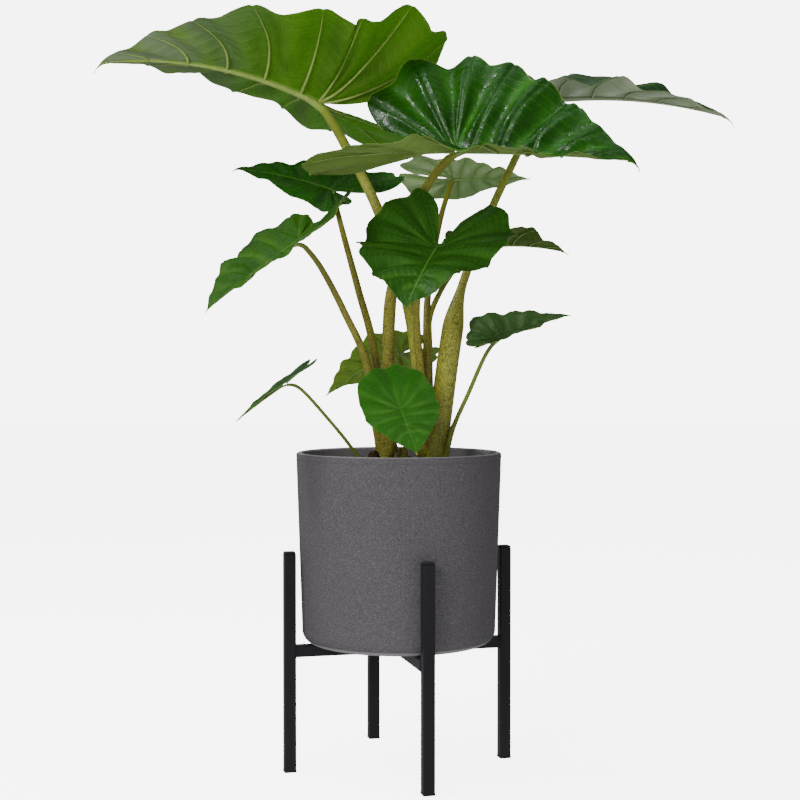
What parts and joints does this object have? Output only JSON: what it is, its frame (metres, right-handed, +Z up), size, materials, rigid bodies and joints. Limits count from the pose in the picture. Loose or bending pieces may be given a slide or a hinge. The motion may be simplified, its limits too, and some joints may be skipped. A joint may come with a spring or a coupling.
{
  "type": "potted upright elephant ear",
  "caption": "Upright elephant ear with large waved arrow-shaped leaves on tall stalks, in a speckled cylinder pot on a black square-tube stand.",
  "frame": {"origin": "bottom centre of the bounding box, on the floor that the stand's feet rest on", "axes": "+Z up; -Y towards the stand leg that the picture shows in front; the stand's legs lie along X and Y from the pot's axis"},
  "size_m": [0.895, 0.5798, 1.0489],
  "materials": {
    "stand_coat": "fine-grained black powder coat",
    "stand_plugs": "matte black",
    "pot_clay": "matte warm grey with fine pale speckle",
    "potting_soil": "dull dark brown crumbs",
    "stalks": "satin olive green mottled with brown",
    "blades": "glossy deep green above, duller below"
  },
  "bodies": {
    "root": {"leg_left": "stand_coat", "leg_right": "stand_coat", "leg_front": "stand_coat", "leg_back": "stand_coat", "crossbar_long": "stand_coat", "crossbar_front": "stand_coat", "crossbar_back": "stand_coat", "foot_left": "stand_plugs", "foot_right": "stand_plugs", "foot_front": "stand_plugs", "foot_back": "stand_plugs", "cap_left": "stand_plugs", "cap_right": "stand_plugs", "cap_front": "stand_plugs", "cap_back": "stand_plugs", "pot": "pot_clay", "soil": "potting_soil", "shoot_left": "stalks", "shoot_right": "stalks", "shoot_back": "stalks", "stalk_small_left": "stalks", "blade_top_left": "blades", "blade_glossy": "blades", "blade_top_right": "blades", "blade_middle": "blades", "blade_pale": "blades", "blade_back_left": "blades", "blade_low_left": "blades", "blade_back_right": "blades", "blade_low_right": "blades", "blade_small_left": "blades", "blade_small_front": "blades", "blade_behind_stalks": "blades", "blade_tiny": "blades"}
  },
  "joints": []
}
